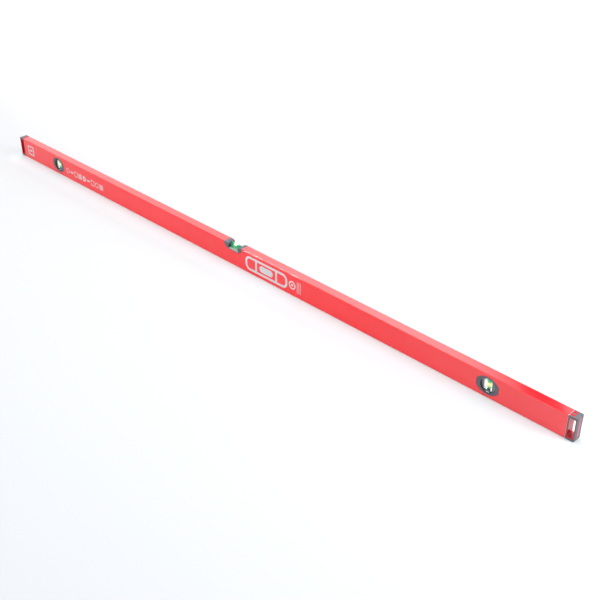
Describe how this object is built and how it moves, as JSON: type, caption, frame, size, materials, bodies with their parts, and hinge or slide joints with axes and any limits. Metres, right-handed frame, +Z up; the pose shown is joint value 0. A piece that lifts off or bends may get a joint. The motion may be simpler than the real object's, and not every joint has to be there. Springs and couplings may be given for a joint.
{
  "type": "spirit level",
  "caption": "Long rectangular box-section spirit level with a horizontal vial in a notch of its top edge, a plumb vial in a round window near each end, and pull-off end caps with hanging holes.",
  "frame": {"origin": "centre of the lower measuring face, on the plane the level rests on", "axes": "+X along the level's length, +Y through its thickness, +Z up towards the edge with the horizontal vial"},
  "size_m": [2, 0.024, 0.058],
  "materials": {
    "red_coat": "fine-textured red powder coat on extruded aluminium",
    "grey_plastic": "satin moulded grey plastic",
    "dark_plastic": "matt dark grey moulded plastic",
    "red_soft": "smooth red thermoplastic elastomer",
    "clear_acrylic": "polished clear acrylic",
    "vial_liquid": "clear yellow-green liquid",
    "air_bubble": "air bubble in the liquid",
    "index_ring": "matt black",
    "white_reflector": "white"
  },
  "bodies": {
    "level": {"left_plumb_block": "clear_acrylic", "left_plumb_carrier": "grey_plastic", "left_plumb_front_bezel": "grey_plastic", "left_plumb_liquid": "vial_liquid", "left_plumb_plug": "dark_plastic", "left_plumb_rear_bezel": "grey_plastic", "left_plumb_reflector_inner": "white_reflector", "left_plumb_reflector_outer": "white_reflector", "left_plumb_ring_lower": "index_ring", "left_plumb_ring_upper": "index_ring", "level_vial_barrel": "clear_acrylic", "level_vial_cradle": "dark_plastic", "level_vial_housing": "grey_plastic", "level_vial_liquid": "vial_liquid", "level_vial_plug": "dark_plastic", "level_vial_reflector": "white_reflector", "level_vial_ring_left": "index_ring", "level_vial_ring_right": "index_ring", "profile": "red_coat", "right_plumb_block": "clear_acrylic", "right_plumb_carrier": "grey_plastic", "right_plumb_front_bezel": "grey_plastic", "right_plumb_liquid": "vial_liquid", "right_plumb_plug": "dark_plastic", "right_plumb_rear_bezel": "grey_plastic", "right_plumb_reflector_inner": "white_reflector", "right_plumb_reflector_outer": "white_reflector", "right_plumb_ring_lower": "index_ring", "right_plumb_ring_upper": "index_ring"},
    "level_bubble": {"level_vial_bubble": "air_bubble"},
    "left_plumb_bubble": {"left_plumb_bubble": "air_bubble"},
    "right_plumb_bubble": {"right_plumb_bubble": "air_bubble"},
    "left_end_cap": {"left_end_cap_frame": "grey_plastic", "left_end_cap_grip": "red_soft", "left_end_cap_liner": "red_soft", "left_end_cap_stop": "red_soft"},
    "right_end_cap": {"right_end_cap_frame": "grey_plastic", "right_end_cap_grip": "red_soft", "right_end_cap_liner": "red_soft", "right_end_cap_stop": "red_soft"}
  },
  "joints": [
    {"name": "level_bubble_slide", "type": "slide", "parent": "level", "child": "level_bubble", "axis": [1, 0, 0], "range_m": [-0.012, 0.012], "stiffness_N_per_m": 1},
    {"name": "left_plumb_bubble_slide", "type": "slide", "parent": "level", "child": "left_plumb_bubble", "axis": [0, 0, 1], "range_m": [-0.009, 0], "stiffness_N_per_m": 2, "springref_m": 0.012},
    {"name": "right_plumb_bubble_slide", "type": "slide", "parent": "level", "child": "right_plumb_bubble", "axis": [0, 0, 1], "range_m": [-0.009, 0], "stiffness_N_per_m": 2, "springref_m": 0.012},
    {"name": "left_end_cap_pull", "type": "slide", "parent": "level", "child": "left_end_cap", "axis": [-1, 0, 0], "range_m": [0, 0.045]},
    {"name": "right_end_cap_pull", "type": "slide", "parent": "level", "child": "right_end_cap", "axis": [1, 0, 0], "range_m": [0, 0.045]}
  ]
}
